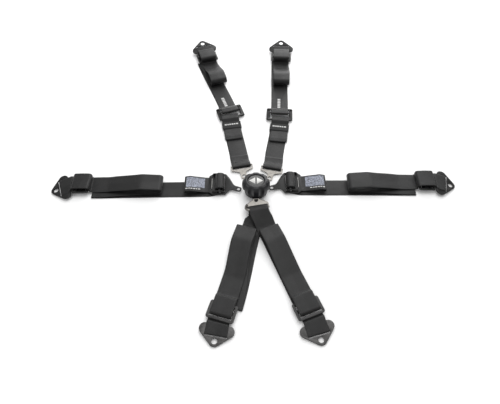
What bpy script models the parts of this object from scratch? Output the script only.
"""Six-point racing harness with a rotary camlock buckle, lying unlatched on a flat floor.

Metres, +Z up. The origin is the centre of the buckle's back face. The buckle leans back by BUCKLE_TILT,
because the loops of the two crotch straps lift its near edge, so the floor is a little below the origin.
+Y runs from the buckle to the shoulder belts, +X to the right lap belt.

Every belt is built along its own line: "along" is the distance outwards from the belt's inner end, and
"up" is the height over the floor. A belt's webbing is a flat ribbon that follows a rounded path of
(along, up, fillet radius) corners, and each piece of hardware is placed at its distance along that line.
"""

from math import atan2, cos, hypot, pi, radians, sin

import bmesh
import bpy
from mathutils import Matrix, Vector

# ---- driving dimensions, in metres and degrees ----
WEB_WIDTH = 0.0508
WEB_THICK = 0.0013
LIE = 0.0010                  # height of the middle of a strap that lies on the floor
GAP = 0.0003                  # clearance between pieces that touch

BUCKLE_TILT = 8.0
BACK_RADIUS = 0.027
BACK_THICK = 0.003
HOUSING_RADIUS = 0.0305
HOUSING_TOP = 0.0165
SLOT_LOW = 0.0048             # tongue slots in the housing, over the buckle's back face
SLOT_HIGH = 0.0092
SLOT_WIDTH = 0.0170
SLOT_INNER = 0.0135
POST_RADIUS = 0.0050
PIN_CIRCLE = 0.0220
PIN_RADIUS = 0.0035
PIN_DIRECTIONS = (0.0, 52.0, 128.0, 180.0)
KNOB_RADIUS = 0.0365
KNOB_TOP = 0.0385
KNOB_SCALLOPS = 8
SCALLOP_RADIUS = 0.0130
SCALLOP_DEPTH = 0.0034
RECESS_RADIUS = 0.0215

TONGUE_THICK = 0.0024
NOSE_WIDTH = 0.0155
NOSE_HOLE_RADIUS = 0.0047
HOOK_SPAN = 0.0600            # over the curled ends of a T-hook
HOOK_BAR_RADIUS = 0.0028

PLATE_THICK = 0.0030          # bolt-in anchor plates
PLATE_LOBE = 0.0130
PLATE_LOBE_OUT = 0.0270
PLATE_TIP = 0.0125
PLATE_HOLE = 0.0380           # centre of the bolt hole, from the plate's base edge
BOLT_RADIUS = 0.0066
PLATE_SLOT = (0.0240, 0.0288)
SLOT_HALF = 0.0261

SLIDE_WIDTH = 0.0650          # three-bar slides
SLIDE_LENGTH = 0.0430
SLIDE_THICK = 0.0028
SLIDE_BAR = 0.0060            # the two end bars
SLIDE_MIDDLE = 0.0080

FRAME_THICK = 0.0020          # adjuster frames
FRAME_UP = 0.0056             # underside of a frame's plate, over the floor
EAR_HEIGHT = 0.0110
BAR_RADIUS = 0.0040
BAR_UP = 0.0108
BAR_TRAVEL = 0.0040
BAR_LENGTH = 0.0534           # between its spigots

FLOOR = -BACK_RADIUS * sin(radians(BUCKLE_TILT))

# Where each belt's inner end and its three-bar slide lie on the floor, its anchor plate's heading, how far the
# plate's base edge is from the slide's outer bar, and how steeply the plate rises.
SHOULDER_BELTS = {
    "left": {"bar": (-0.0390, 0.0865), "hook_yaw": 2.0, "adjuster": (-0.0765, 0.3015), "slide": (-0.1570, 0.5555),
             "anchor_yaw": -1.0, "anchor_gap": 0.0050, "anchor_rise": 12.0},
    "right": {"bar": (0.0445, 0.0795), "hook_yaw": -5.0, "adjuster": (0.0725, 0.2925), "slide": (0.0868, 0.5555),
              "anchor_yaw": 2.0, "anchor_gap": 0.0050, "anchor_rise": 12.0},
}
LAP_BELTS = {
    "left": {"bar": (-0.0955, 0.0225), "slide": (-0.4630, 0.0205),
             "tongue_heading": -19.0, "anchor_yaw": 20.0, "anchor_gap": 0.0140, "anchor_rise": -9.0},
    "right": {"bar": (0.0915, 0.0270), "slide": (0.4520, 0.0305),
              "tongue_heading": 199.0, "anchor_yaw": -13.0, "anchor_gap": 0.0120, "anchor_rise": -9.0},
}
SUB_BELTS = {
    "left": {"slide": (-0.0786, -0.3415), "anchor_yaw": 6.0, "anchor_gap": 0.0120, "anchor_rise": -5.5},
    "right": {"slide": (0.1150, -0.3335), "anchor_yaw": -5.0, "anchor_gap": 0.0190, "anchor_rise": -5.0},
}
LUG_PIVOT = -0.0400           # the crotch bracket's rivet, towards the driver from the buckle's axis
BRACKET_YAW = 12.0
BRACKET_REACH = 0.0225        # from the rivet to the bracket's bar
BRACKET_UP = 0.0016           # middle of the bracket, over the buckle's back face

STEEL = ("black_steel", (0.035, 0.036, 0.038, 1), 0.45, 0.8)
GREY_STEEL = ("grey_steel", (0.17, 0.18, 0.19, 1), 0.40, 0.9)
NICKEL = ("nickel", (0.72, 0.69, 0.64, 1), 0.25, 1.0)
WEBBING = ("webbing", (0.012, 0.012, 0.014, 1), 0.75, 0.0)
ALUMINIUM = ("black_aluminium", (0.06, 0.06, 0.065, 1), 0.40, 0.6)
KNOB_PLASTIC = ("knob_plastic", (0.07, 0.07, 0.075, 1), 0.38, 0.0)
LABEL = ("woven_label", (0.55, 0.58, 0.66, 1), 0.80, 0.0)


# ---- scene, collections and materials ----
for old in list(bpy.data.objects):
    bpy.data.objects.remove(old, do_unlink=True)

harness = bpy.data.collections.new("racing_harness")
cutters = bpy.data.collections.new("cutters")
bpy.context.scene.collection.children.link(harness)
bpy.context.scene.collection.children.link(cutters)


def give_material(obj, look):
    name, colour, roughness, metallic = look
    material = bpy.data.materials.new(f"{obj.name}_{name}")
    material.use_nodes = True
    shader = material.node_tree.nodes["Principled BSDF"]
    shader.inputs["Base Color"].default_value = colour
    shader.inputs["Roughness"].default_value = roughness
    shader.inputs["Metallic"].default_value = metallic
    obj.data.materials.clear()
    obj.data.materials.append(material)


def add_object(name, data, parent=None, cutter=False):
    """A new object in the harness, or a hidden one that cuts or joins others."""
    obj = bpy.data.objects.new(name, data)
    (cutters if cutter else harness).objects.link(obj)
    if cutter:
        obj.hide_render = True
        obj.display_type = "WIRE"
    obj.parent = parent
    return obj


def add_empty(name, parent=None, place=(0, 0, 0), turn=(0, 0, 0)):
    empty = bpy.data.objects.new(name, None)
    harness.objects.link(empty)
    empty.parent = parent
    empty.location = place
    empty.rotation_euler = turn
    return empty


def to_mesh(curve_object):
    """Turns a curve object into a mesh object with welded caps."""
    bpy.context.view_layer.update()
    graph = bpy.context.evaluated_depsgraph_get()
    mesh = bpy.data.meshes.new_from_object(curve_object.evaluated_get(graph))
    work = bmesh.new()
    work.from_mesh(mesh)
    bmesh.ops.remove_doubles(work, verts=work.verts, dist=1e-6)
    bmesh.ops.recalc_face_normals(work, faces=work.faces)
    work.to_mesh(mesh)
    work.free()
    obj = bpy.data.objects.new(curve_object.name + "_mesh", mesh)
    curve_object.users_collection[0].objects.link(obj)
    obj.parent = curve_object.parent
    obj.matrix_basis = curve_object.matrix_basis.copy()
    obj.hide_render = curve_object.hide_render
    obj.display_type = curve_object.display_type
    name = curve_object.name
    curve = curve_object.data
    bpy.data.objects.remove(curve_object)
    bpy.data.curves.remove(curve)
    obj.name = name
    return obj


# ---- outlines and solids ----
def fillet(corners, closed, step=30.0):
    """Rounds a polyline whose corners are (x, y, radius). Returns plain (x, y) points."""
    points = []
    count = len(corners)
    for i, (x, y, radius) in enumerate(corners):
        if radius == 0 or (not closed and i in (0, count - 1)):
            points.append((x, y))
            continue
        here = Vector((x, y))
        before = (Vector(corners[i - 1][:2]) - here).normalized()
        after = (Vector(corners[(i + 1) % count][:2]) - here).normalized()
        inside = before.angle(after)
        reach = radius / sin(inside / 2)
        centre = here + (before + after).normalized() * reach
        first = here + before * (radius / (sin(inside / 2) / cos(inside / 2)))
        last = here + after * (radius / (sin(inside / 2) / cos(inside / 2)))
        start = atan2(first.y - centre.y, first.x - centre.x)
        turn = (atan2(last.y - centre.y, last.x - centre.x) - start + pi) % (2 * pi) - pi
        steps = max(1, round(abs(turn) / radians(step)))
        for k in range(steps + 1):
            angle = start + turn * k / steps
            points.append((centre.x + radius * cos(angle), centre.y + radius * sin(angle)))
    return points


def ring(radius, sides=20, at=(0.0, 0.0)):
    return [(at[0] + radius * cos(2 * pi * k / sides), at[1] + radius * sin(2 * pi * k / sides))
            for k in range(sides)]


def box_outline(x0, x1, half, radius=0.0):
    return fillet([(x0, -half, radius), (x1, -half, radius), (x1, half, radius), (x0, half, radius)], True)


def flat(name, outlines, low, high, parent=None, cutter=False):
    """A flat plate from low to high: the first outline is its edge, the others are holes."""
    curve = bpy.data.curves.new(name, "CURVE")
    curve.dimensions = "2D"
    curve.fill_mode = "BOTH"
    curve.extrude = (high - low) / 2
    for outline in outlines:
        spline = curve.splines.new("POLY")
        spline.points.add(len(outline) - 1)
        for point, (x, y) in zip(spline.points, outline):
            point.co = (x, y, 0, 1)
        spline.use_cyclic_u = True
    obj = add_object(name, curve, parent, cutter)
    obj.location = (0, 0, (low + high) / 2)
    return to_mesh(obj)


def rod(name, radius, length, parent=None, sides=12, cutter=False):
    """A cylinder whose length lies across the belt, centred on its parent."""
    mesh = bpy.data.meshes.new(name)
    work = bmesh.new()
    bmesh.ops.create_cone(work, cap_ends=True, segments=sides, radius1=radius, radius2=radius, depth=length)
    bmesh.ops.rotate(work, cent=(0, 0, 0), matrix=Matrix.Rotation(pi / 2, 3, "X"), verts=work.verts)
    work.to_mesh(mesh)
    work.free()
    return add_object(name, mesh, parent, cutter)


def turned(name, profile, parent=None, steps=32, cutter=False):
    """A turned solid. The profile lists (radius, height) down its outer side, from top to bottom."""
    mesh = bpy.data.meshes.new(name)
    work = bmesh.new()
    verts = [work.verts.new((radius, 0, height)) for radius, height in profile]
    for first, second in zip(verts, verts[1:]):
        work.edges.new((first, second))
    if profile[0][0] > 0:
        work.edges.new((verts[-1], verts[0]))
    work.to_mesh(mesh)
    work.free()
    obj = add_object(name, mesh, parent, cutter)
    screw = obj.modifiers.new("turn", "SCREW")
    screw.axis = "Z"
    screw.steps = steps
    screw.render_steps = steps
    screw.use_merge_vertices = True
    screw.merge_threshold = 0.000001
    return obj


def boolean(obj, other, operation):
    modifier = obj.modifiers.new(f"{operation.lower()}_{other.name}", "BOOLEAN")
    modifier.operation = operation
    modifier.object = other
    modifier.solver = "EXACT"


def ribbon(name, corners, parent, width=WEB_WIDTH, thick=WEB_THICK, step=30.0, closed=False):
    """Webbing that follows rounded (along, up, radius) corners: a flat curve, extruded and given thickness."""
    curve = bpy.data.curves.new(name, "CURVE")
    curve.dimensions = "2D"
    curve.fill_mode = "NONE"
    curve.extrude = width / 2
    points = fillet(corners, closed, step)
    spline = curve.splines.new("POLY")
    spline.points.add(len(points) - 1)
    for point, (x, y) in zip(spline.points, points):
        point.co = (x, y, 0, 1)
    spline.use_cyclic_u = closed
    obj = add_object(name, curve, parent)
    obj.rotation_euler = (pi / 2, 0, 0)
    obj = to_mesh(obj)
    solidify = obj.modifiers.new("webbing", "SOLIDIFY")
    solidify.thickness = thick
    solidify.offset = 0
    solidify.use_even_offset = True
    give_material(obj, WEBBING)
    return obj


# ---- hardware that more than one belt has ----
def anchor_plate(name, parent, look):
    """A triangular bolt-in plate. Its base edge is at x = 0 and its bolt hole near the tip, at PLATE_HOLE."""
    lobes = []
    for side in (-1, 1):
        lobes.append((PLATE_LOBE, side * PLATE_LOBE_OUT, PLATE_LOBE))
    tip = (PLATE_HOLE, 0.0, PLATE_TIP)
    edge = []
    for (x, y, radius), first, last in (
        (lobes[0], 180, 315), (tip, -45, 45), (lobes[1], 45, 180),
    ):
        for k in range(7):
            angle = radians(first + (last - first) * k / 6)
            edge.append((x + radius * cos(angle), y + radius * sin(angle)))
    slot = box_outline(PLATE_SLOT[0], PLATE_SLOT[1], SLOT_HALF, 0.0012)
    hole = ring(BOLT_RADIUS, 20, (PLATE_HOLE, 0.0))
    plate = flat(name, [edge, slot, hole], -PLATE_THICK / 2, PLATE_THICK / 2, parent)
    give_material(plate, look)
    return plate


def anchor_loop(name, parent, start, reach):
    """The webbing that runs out from the slide, over the plate, through its slot and back under the plate.

    start is how far it stays from the slide's outer bar, and reach is the distance from there to the plate."""
    over = PLATE_THICK / 2 + GAP + WEB_THICK / 2
    turn = reach + PLATE_SLOT[0] + 0.0022
    return ribbon(name, [(start, over, 0), (turn, over, 0.0015), (turn, -over, 0.0015), (start, -over, 0)], parent)


def three_bar_slide(name, parent, look):
    half = SLIDE_LENGTH / 2
    edge = box_outline(-half, half, SLIDE_WIDTH / 2, 0.005)
    inner = box_outline(-half + SLIDE_BAR, -SLIDE_MIDDLE / 2, SLOT_HALF, 0.0010)
    outer = box_outline(SLIDE_MIDDLE / 2, half - SLIDE_BAR, SLOT_HALF, 0.0010)
    slide = flat(name, [edge, inner, outer], -SLIDE_THICK / 2, SLIDE_THICK / 2, parent)
    give_material(slide, look)
    return slide


def t_hook(name, parent, neck, hole_at, hole_radius, look):
    """A forged T-hook: a nose with a hole, a flat neck that widens, and a slot closed by a round bar.

    Its round bar lies on the parent's origin, across the belt, and its nose points along -x."""
    half = HOOK_SPAN / 2
    nose = NOSE_WIDTH / 2
    edge = fillet([
        (-neck, -nose, 0.0060), (-0.0200, -nose, 0.0060), (-0.0135, -half + 0.0060, 0.0050),
        (-0.0135, -half, 0.0030), (0.0005, -half, 0), (0.0005, half, 0),
        (-0.0135, half, 0.0030), (-0.0135, half - 0.0060, 0.0050), (-0.0200, nose, 0.0060), (-neck, nose, 0.0060),
    ], True)
    slot = box_outline(-0.0092, -0.0010, half - 0.0036, 0.0010)
    hole = ring(hole_radius, 16, (-hole_at, 0.0))
    plate = flat(name, [edge, slot, hole], -TONGUE_THICK / 2, TONGUE_THICK / 2, parent)
    bar = rod(name + "_bar", HOOK_BAR_RADIUS, HOOK_SPAN - 0.0004, parent, 12, cutter=True)
    boolean(plate, bar, "UNION")
    give_material(plate, look)
    return plate


def knurled_bar(name, parent, length, look):
    bar = rod(name, BAR_RADIUS, length, parent, 14)
    for side in (-1, 1):
        spigot = rod(f"{name}_spigot_{side}", 0.0028, 0.008, parent, 10, cutter=True)
        spigot.location = (0, side * length / 2, 0)
        boolean(bar, spigot, "UNION")
    give_material(bar, look)
    return bar


def adjuster_frame(name, parent, outlines, width, ears, look):
    """A stamped frame: a flat plate with a window, and an upturned ear on each side that holds the knurled bar."""
    frame = flat(name, outlines, 0, FRAME_THICK, parent)
    inner = width / 2 - FRAME_THICK
    low = BAR_UP - FRAME_UP - 0.0031
    high = BAR_UP - FRAME_UP + 0.0031
    for side in (-1, 1):
        ear = flat(f"{name}_ear_{side}", [
            fillet([(ears[0], 0.0004, 0), (ears[1], 0.0004, 0), (ears[1] - 0.002, EAR_HEIGHT, 0.004),
                    (ears[0] + 0.005, EAR_HEIGHT, 0.005)], True),
            fillet([(-0.0032, low, 0.0010), (0.0032 + BAR_TRAVEL, low, 0.0010),
                    (0.0032 + BAR_TRAVEL, high, 0.0010), (-0.0032, high, 0.0010)], True),
        ], -FRAME_THICK / 2, FRAME_THICK / 2, parent, cutter=True)
        ear.rotation_euler = (pi / 2, 0, 0)
        ear.location = (0, side * (inner + FRAME_THICK / 2), 0)
        boolean(frame, ear, "UNION")
    give_material(frame, look)
    return frame


# ---- buckle ----
def build_buckle(root):
    """Back plate, housing with tongue slots, post, spring, latch pins, lug and the turning knob."""
    back = turned("buckle_back_plate", [(0.0, BACK_THICK), (BACK_RADIUS, BACK_THICK), (BACK_RADIUS, 0.0), (0.0, 0.0)],
                  root)
    give_material(back, STEEL)

    housing = turned("buckle_housing", [
        (0.0120, HOUSING_TOP), (HOUSING_RADIUS - 0.002, HOUSING_TOP), (HOUSING_RADIUS, HOUSING_TOP - 0.002),
        (HOUSING_RADIUS, BACK_THICK + GAP), (POST_RADIUS + 0.0006, BACK_THICK + GAP),
        (POST_RADIUS + 0.0006, 0.0115), (0.0120, 0.0115),
    ], root, 40)
    for number, direction in enumerate(PIN_DIRECTIONS, 1):
        slot = flat(f"tongue_slot_{number}", [box_outline(SLOT_INNER, 0.04, SLOT_WIDTH / 2)], SLOT_LOW, SLOT_HIGH,
                    root, cutter=True)
        slot.rotation_euler = (0, 0, radians(direction))
        boolean(housing, slot, "DIFFERENCE")
        bore = flat(f"pin_bore_{number}", [ring(PIN_RADIUS + 0.0004, 16)], 0.0060, 0.0200, root, cutter=True)
        bore.location.x = PIN_CIRCLE * cos(radians(direction))
        bore.location.y = PIN_CIRCLE * sin(radians(direction))
        boolean(housing, bore, "DIFFERENCE")
    lug_slot = flat("lug_slot", [[(-0.0090, -0.0400), (0.0090, -0.0400), (0.0090, -0.0180), (-0.0090, -0.0180)]],
                    BACK_THICK - 0.001, 0.0079, root, cutter=True)
    boolean(housing, lug_slot, "DIFFERENCE")
    give_material(housing, ALUMINIUM)

    post = turned("buckle_centre_post", [(0.0, 0.0290), (0.0075, 0.0290), (0.0075, 0.0265), (POST_RADIUS, 0.0265),
                                         (POST_RADIUS, BACK_THICK + GAP), (0.0, BACK_THICK + GAP)], root, 20)
    give_material(post, GREY_STEEL)

    spring = turned("knob_return_spring", [
        (0.0088 + 0.0012 * cos(2 * pi * k / 8), 0.0135 + 0.0012 * sin(2 * pi * k / 8)) for k in range(8, 0, -1)
    ], root, 24)
    give_material(spring, GREY_STEEL)

    lug = flat("crotch_lug", [
        fillet([(-0.0086, -0.0184, 0), (-0.0086, -0.0400, 0.0080), (0.0, -0.0490, 0.0080), (0.0086, -0.0400, 0.0080),
                (0.0086, -0.0184, 0)], True),
        ring(0.0033, 14, (0.0, LUG_PIVOT)),
    ], BACK_THICK + GAP, 0.0075, root)
    give_material(lug, STEEL)

    knob_empty = add_empty("knob_axis", root)
    profile = [
        (RECESS_RADIUS, KNOB_TOP), (RECESS_RADIUS + 0.0035, KNOB_TOP + 0.0006), (0.0300, KNOB_TOP - 0.0006),
        (0.0340, KNOB_TOP - 0.0045), (KNOB_RADIUS, 0.0270), (KNOB_RADIUS, 0.0220), (0.0345, 0.0160),
        (0.0335, 0.0125), (0.0315, 0.0125), (0.0315, 0.0225), (0.0082, 0.0225), (0.0082, 0.0310),
        (RECESS_RADIUS - 0.0002, 0.0310),
    ]
    knob = turned("release_knob", profile, knob_empty, 48)
    for number in range(KNOB_SCALLOPS):
        angle = 2 * pi * (number + 0.5) / KNOB_SCALLOPS
        scallop = flat(f"knob_scallop_{number + 1}", [ring(SCALLOP_RADIUS, 20)], 0.0, 0.0500, knob_empty, cutter=True)
        scallop.location.x = (KNOB_RADIUS + SCALLOP_RADIUS - SCALLOP_DEPTH) * cos(angle)
        scallop.location.y = (KNOB_RADIUS + SCALLOP_RADIUS - SCALLOP_DEPTH) * sin(angle)
        boolean(knob, scallop, "DIFFERENCE")
    give_material(knob, KNOB_PLASTIC)

    insert = turned("knob_cap_disc", [(0.0, KNOB_TOP - 0.0050), (RECESS_RADIUS - 0.0006, KNOB_TOP - 0.0050),
                                      (RECESS_RADIUS - 0.0006, 0.0313), (0.0, 0.0313)], knob_empty, 32)
    give_material(insert, ALUMINIUM)

    cam = turned("cam_plate", [(0.0078, 0.0221), (0.0300, 0.0221), (0.0300, 0.0212), (0.0078, 0.0212)],
                 knob_empty, 40)
    give_material(cam, GREY_STEEL)

    for number, direction in enumerate(PIN_DIRECTIONS, 1):
        place = (PIN_CIRCLE * cos(radians(direction)), PIN_CIRCLE * sin(radians(direction)), 0)
        pin_empty = add_empty(f"latch_pin_{number}_axis", root, place)
        pin = flat(f"latch_pin_{number}", [ring(PIN_RADIUS, 14)], SLOT_LOW + 0.0004, HOUSING_TOP, pin_empty)
        give_material(pin, GREY_STEEL)


# ---- belts ----
def heading_of(start, end):
    return atan2(end[1] - start[1], end[0] - start[0])


def belt_empty(name, start, heading, parent, up=0.0):
    """An empty on the floor at start, whose x axis runs outwards along the belt. It stands in world space."""
    empty = add_empty(name, parent)
    bpy.context.view_layer.update()
    world = Matrix.Translation((start[0], start[1], FLOOR + up)) @ Matrix.Rotation(heading, 4, "Z")
    empty.matrix_world = world
    bpy.context.view_layer.update()
    return empty


def slide_and_anchor(label, belt, parent, slide_up, look):
    """The three-bar slide, then the anchor plate and its webbing loop, which tilt about the slide's outer bar."""
    slide_empty = belt_empty(f"slide_{label}_place", belt["slide"], belt["heading"], parent, slide_up)
    three_bar_slide(f"slide_{label}", slide_empty, look)
    axis = add_empty(f"anchor_{label}_axis", slide_empty, ((SLIDE_LENGTH - SLIDE_BAR) / 2, 0, 0))
    yaw = radians(belt["anchor_yaw"])
    place = add_empty(f"anchor_{label}_place", axis, turn=(0, -radians(belt["anchor_rise"]), yaw))
    clear = 0.0052 + WEB_WIDTH / 2 * sin(abs(yaw))
    anchor_loop(f"anchor_loop_{label}", place, clear, belt["anchor_gap"])
    plate_empty = add_empty(f"anchor_{label}_base", place, (belt["anchor_gap"], 0, 0))
    anchor_plate(f"anchor_plate_{label}", plate_empty, look)


def turn_end(obj, yaw, full, none):
    """Turns the webbing's inner end in plan by yaw, so that its loop is square to a bar that is turned that far.

    Nearer than full the turn is complete, and it fades to nothing at the distance none."""
    for vertex in obj.data.vertices:
        along, height, across = vertex.co
        blend = min(1.0, max(0.0, (none - along) / (none - full)))
        angle = yaw * blend * blend * (3 - 2 * blend)
        vertex.co = (along * cos(angle) + across * sin(angle), height, across * cos(angle) - along * sin(angle))


def folded_strap(start, fold_near, fold_far, slide, slide_up, crown, layer=0.0034, bulge=0.0070, under_bar=True):
    """Corners of a strap that is folded to and fro in three layers and then threaded through its slide.

    start lists the corners before the first layer's end. The strap runs out along the floor to fold_far, back to
    fold_near, and out again to the slide, whose middle is at slide. It passes under the slide's inner bar, or over
    it without under_bar, lies over the middle bar by crown, and goes down through the outer slot."""
    inner = slide - SLIDE_MIDDLE / 2 - 0.0038
    outer = slide + SLIDE_MIDDLE / 2 + 0.0038
    top = slide_up + SLIDE_THICK / 2 + crown
    under = slide_up - SLIDE_THICK / 2 - GAP - WEB_THICK / 2 - 0.0002
    third = LIE + layer + bulge
    if under_bar:
        entry = [(fold_near + 0.060, third, 0.030), (inner - 0.016, under, 0.004), (inner, under, 0.0012),
                 (inner, top, 0.0050)]
    else:
        entry = [(inner - 0.0260, third, 0.020), (inner - 0.0150, top, 0.008)]
    return start + [
        (fold_far, LIE, layer / 2 - 0.0002), (fold_far, LIE + layer, layer / 2 - 0.0002),
        (fold_near, LIE + layer, bulge / 2), (fold_near, third, bulge / 2),
    ] + entry + [(outer, top, 0.0050), (outer, slide_up - 0.0012, 0)]


def build_shoulder_belt(side, belt, root):
    belt["heading"] = heading_of(belt["adjuster"], belt["slide"])
    lower_heading = heading_of(belt["bar"], belt["adjuster"])
    lower = hypot(belt["adjuster"][0] - belt["bar"][0], belt["adjuster"][1] - belt["bar"][1])
    upper = hypot(belt["slide"][0] - belt["adjuster"][0], belt["slide"][1] - belt["adjuster"][1])
    name = f"shoulder_{side}"

    bar_up = 0.0062
    yaw = radians(belt["hook_yaw"])
    hook_empty = belt_empty(f"{name}_hook_axis", belt["bar"], lower_heading + yaw, root, bar_up)
    nose_down = add_empty(f"{name}_hook_place", hook_empty, turn=(0, -radians(6.0), 0))
    t_hook(f"tongue_{name}", nose_down, 0.0420, 0.0335, NOSE_HOLE_RADIUS, NICKEL)

    low_empty = belt_empty(f"{name}_lower_place", belt["bar"], lower_heading, hook_empty)
    wrap = HOOK_BAR_RADIUS + GAP + WEB_THICK / 2 + 0.0006
    loop_in = lower - 0.0177
    loop_out = lower - 0.0335
    lower_strap = ribbon(f"strap_{name}_lower", [
        (0.0420, LIE + 0.0020, 0), (0.0200, LIE + 0.0020, 0.02), (0.0065, bar_up + wrap, 0.0070),
        (-wrap, bar_up + wrap, wrap - 0.0004), (-wrap, bar_up - wrap, wrap - 0.0004), (0.0060, LIE, 0.01),
        (loop_in - 0.012, LIE, 0.01), (loop_in, LIE + 0.0012, 0.003), (loop_in, 0.0100, 0.0024),
        (loop_out, 0.0100, 0.0024), (loop_out, 0.0040, 0.002), (loop_out - 0.0110, LIE + 0.0020, 0.006),
        (loop_out - 0.0420, LIE + 0.0020, 0),
    ], low_empty)
    turn_end(lower_strap, yaw, 0.010, 0.060)
    tail_up = LIE + 0.0044
    ribbon(f"strap_{name}_tail", [
        (lower - 0.0165, 0.0117, 0), (loop_out - 0.0005, 0.0117, 0.004), (loop_out - 0.0100, tail_up, 0.006),
        (lower - 0.1080, tail_up, 0.01), (lower - 0.1200, tail_up - 0.0022, 0),
    ], low_empty)
    keeper_place = add_empty(f"keeper_{name}_place", low_empty, (lower - 0.0580, 0, 0), (0, 0, pi / 2))
    ribbon(f"keeper_{name}", [
        (-0.0268, LIE - 0.0002, 0), (-0.0268, tail_up + 0.0016, 0.0005), (0.0268, tail_up + 0.0016, 0.0005),
        (0.0268, LIE - 0.0002, 0),
    ], keeper_place, 0.0250, 0.0009)

    pivot_along = -0.0255
    pivot = (belt["adjuster"][0] + pivot_along * cos(belt["heading"]),
             belt["adjuster"][1] + pivot_along * sin(belt["heading"]))
    tilt_empty = belt_empty(f"{name}_adjuster_axis", pivot, belt["heading"], low_empty, FRAME_UP + FRAME_THICK / 2)
    tilt_place = belt_empty(f"{name}_upper_place", belt["adjuster"], belt["heading"], tilt_empty)
    frame_empty = add_empty(f"{name}_frame_place", tilt_place, (0, 0, FRAME_UP))
    adjuster_frame(f"adjuster_frame_{name}", frame_empty, [
        box_outline(-0.0290, 0.0180, 0.0385, 0.003),
        box_outline(-0.0220, 0.0115, 0.0281, 0.001),
    ], 0.0600, (-0.0150, 0.0150), STEEL)
    bar_empty = add_empty(f"{name}_bar_axis", tilt_place, (0, 0, BAR_UP))
    knurled_bar(f"adjuster_bar_{name}", bar_empty, BAR_LENGTH, GREY_STEEL)

    path = folded_strap([
        (-0.0093, 0.0108, 0), (-0.0093, 0.0162, 0.0030), (0.0093, 0.0162, 0.0040), (0.0093, LIE, 0.0020),
    ], 0.1250, upper - 0.0160, upper, 0.0100, 0.0085)
    ribbon(f"strap_{name}_upper", path, tilt_place)
    slide_and_anchor(name, belt, tilt_place, 0.0100, STEEL)


def build_lap_belt(side, belt, root):
    belt["heading"] = heading_of(belt["bar"], belt["slide"])
    length = hypot(belt["slide"][0] - belt["bar"][0], belt["slide"][1] - belt["bar"][1])
    name = f"lap_{side}"
    place = belt_empty(f"{name}_place", belt["bar"], belt["heading"], root)

    yaw = radians(belt["tongue_heading"]) + pi - belt["heading"]
    frame_empty = add_empty(f"{name}_frame_place", place, (0, 0, FRAME_UP))
    nose = [
        (-0.0600 * cos(yaw) - v * sin(yaw), -0.0600 * sin(yaw) + v * cos(yaw), 0.0055)
        for v in (NOSE_WIDTH / 2, -NOSE_WIDTH / 2)
    ]
    neck = [
        (-0.0370 * cos(yaw) - v * sin(yaw), -0.0370 * sin(yaw) + v * cos(yaw), 0.0080)
        for v in (NOSE_WIDTH / 2, -NOSE_WIDTH / 2)
    ]
    half = 0.0345
    edge = fillet([
        nose[0], nose[1], neck[1], (-0.0250, -0.0200, 0.004), (-0.0150, -half, 0.004), (0.0200, -half, 0.003),
        (0.0300, -0.0260, 0.003), (0.0300, 0.0260, 0.003), (0.0200, half, 0.003), (-0.0150, half, 0.004),
        (-0.0250, 0.0200, 0.004), neck[0],
    ], True)
    hole_at = (-0.0520 * cos(yaw), -0.0520 * sin(yaw))
    adjuster_frame(f"tongue_{name}", frame_empty, [
        edge, box_outline(-0.0125, 0.0130, 0.0272, 0.001), ring(0.0042, 16, hole_at),
    ], 0.0600, (-0.0140, 0.0210), STEEL)
    bar_empty = add_empty(f"{name}_bar_axis", place, (0, 0, BAR_UP))
    knurled_bar(f"adjuster_bar_{name}", bar_empty, BAR_LENGTH, GREY_STEEL)

    path = folded_strap([
        (0.0790, 0.0055, 0), (0.0860, 0.0055, 0.002), (0.0860, 0.0120, 0.002), (0.0720, 0.0120, 0.010),
        (0.0340, 0.0039, 0.020), (0.0100, 0.0039, 0.0015), (0.0100, 0.0162, 0.0040),
        (-0.0088, 0.0162, 0.0040), (-0.0088, LIE, 0.0020),
    ], 0.1520, length - 0.0300, length, 0.0125, 0.0085)
    ribbon(f"strap_{name}", path, place)
    label_empty = add_empty(f"{name}_label_place", place, (0.0535, 0, 0.0090), (0, -radians(11.5), 0))
    label = flat(f"label_{name}", [box_outline(-0.0150, 0.0150, 0.0230)], 0.0004, 0.0010, label_empty)
    give_material(label, LABEL)
    slide_and_anchor(name, belt, place, 0.0125, STEEL)


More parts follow.
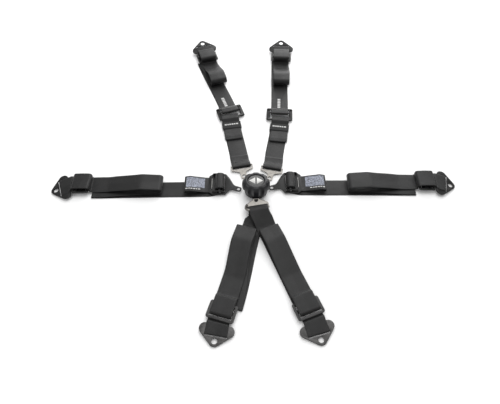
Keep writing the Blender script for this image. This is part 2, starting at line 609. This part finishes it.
def build_sub_belts(belts, root):
    """The crotch bracket on its rivet, and the two straps whose loops share the bracket's bar."""
    swivel = add_empty("crotch_bracket_axis", root, (0, LUG_PIVOT, 0.0))
    rivet = turned("bracket_rivet", [(0.0, 0.0098), (0.0055, 0.0098), (0.0055, 0.0078), (0.0030, 0.0078),
                                     (0.0030, 0.0003), (0.0, 0.0003)], root, 16)
    rivet.location = (0, LUG_PIVOT, 0)
    give_material(rivet, GREY_STEEL)
    turn = radians(-90 + BRACKET_YAW)
    hook_empty = add_empty("crotch_hook_axis", swivel,
                           (BRACKET_REACH * cos(turn), BRACKET_REACH * sin(turn), BRACKET_UP), (0, 0, turn))
    t_hook("crotch_bracket", hook_empty, BRACKET_REACH + 0.0080, BRACKET_REACH, 0.0034, NICKEL)

    bpy.context.view_layer.update()
    bar_x, bar_y, bar_z = hook_empty.matrix_world.translation
    bar_up = bar_z - FLOOR
    parent = hook_empty
    for side in ("left", "right"):
        belt = belts[side]
        belt["heading"] = heading_of((bar_x, bar_y), belt["slide"])
        length = hypot(belt["slide"][0] - bar_x, belt["slide"][1] - bar_y)
        name = f"crotch_{side}"
        place = belt_empty(f"{name}_place", (bar_x, bar_y), belt["heading"], parent)
        if side == "left":
            loop = 0.0054
            layer = 0.0030
            start = [
                (0.0200, bar_up - 0.0010, 0), (0.0050, bar_up + loop, 0.006),
                (-loop, bar_up + loop, loop - 0.0002), (-loop, bar_up - loop, loop - 0.0002),
                (0.0120, bar_up - loop, 0.010), (0.0400, LIE, 0.010),
            ]
        else:
            loop = 0.0074
            layer = 0.0050
            start = [
                (-loop, bar_up - 0.0040, 0), (-loop, bar_up + loop, loop - 0.0002), (0.0100, bar_up + loop, 0.010),
                (0.0540, LIE + 0.0023, 0.015), (0.0860, LIE + 0.0023, 0.020), (0.1150, LIE, 0.020),
            ]
        path = folded_strap(start, 0.0790, length - 0.0080, length, 0.0085, 0.0050, layer, 0.0036, False)
        strap = ribbon(f"strap_{name}", path, place)
        turn_end(strap, turn - belt["heading"], 0.014, 0.075)
        slide_and_anchor(name, belt, place, 0.0085, GREY_STEEL)
        parent = place


buckle_root = add_empty("buckle", turn=(-radians(BUCKLE_TILT), 0, 0))
bpy.context.view_layer.update()
build_buckle(buckle_root)
for belt_side, shoulder in SHOULDER_BELTS.items():
    build_shoulder_belt(belt_side, shoulder, buckle_root)
for belt_side, lap in LAP_BELTS.items():
    build_lap_belt(belt_side, lap, buckle_root)
build_sub_belts(SUB_BELTS, buckle_root)
bpy.context.view_layer.update()
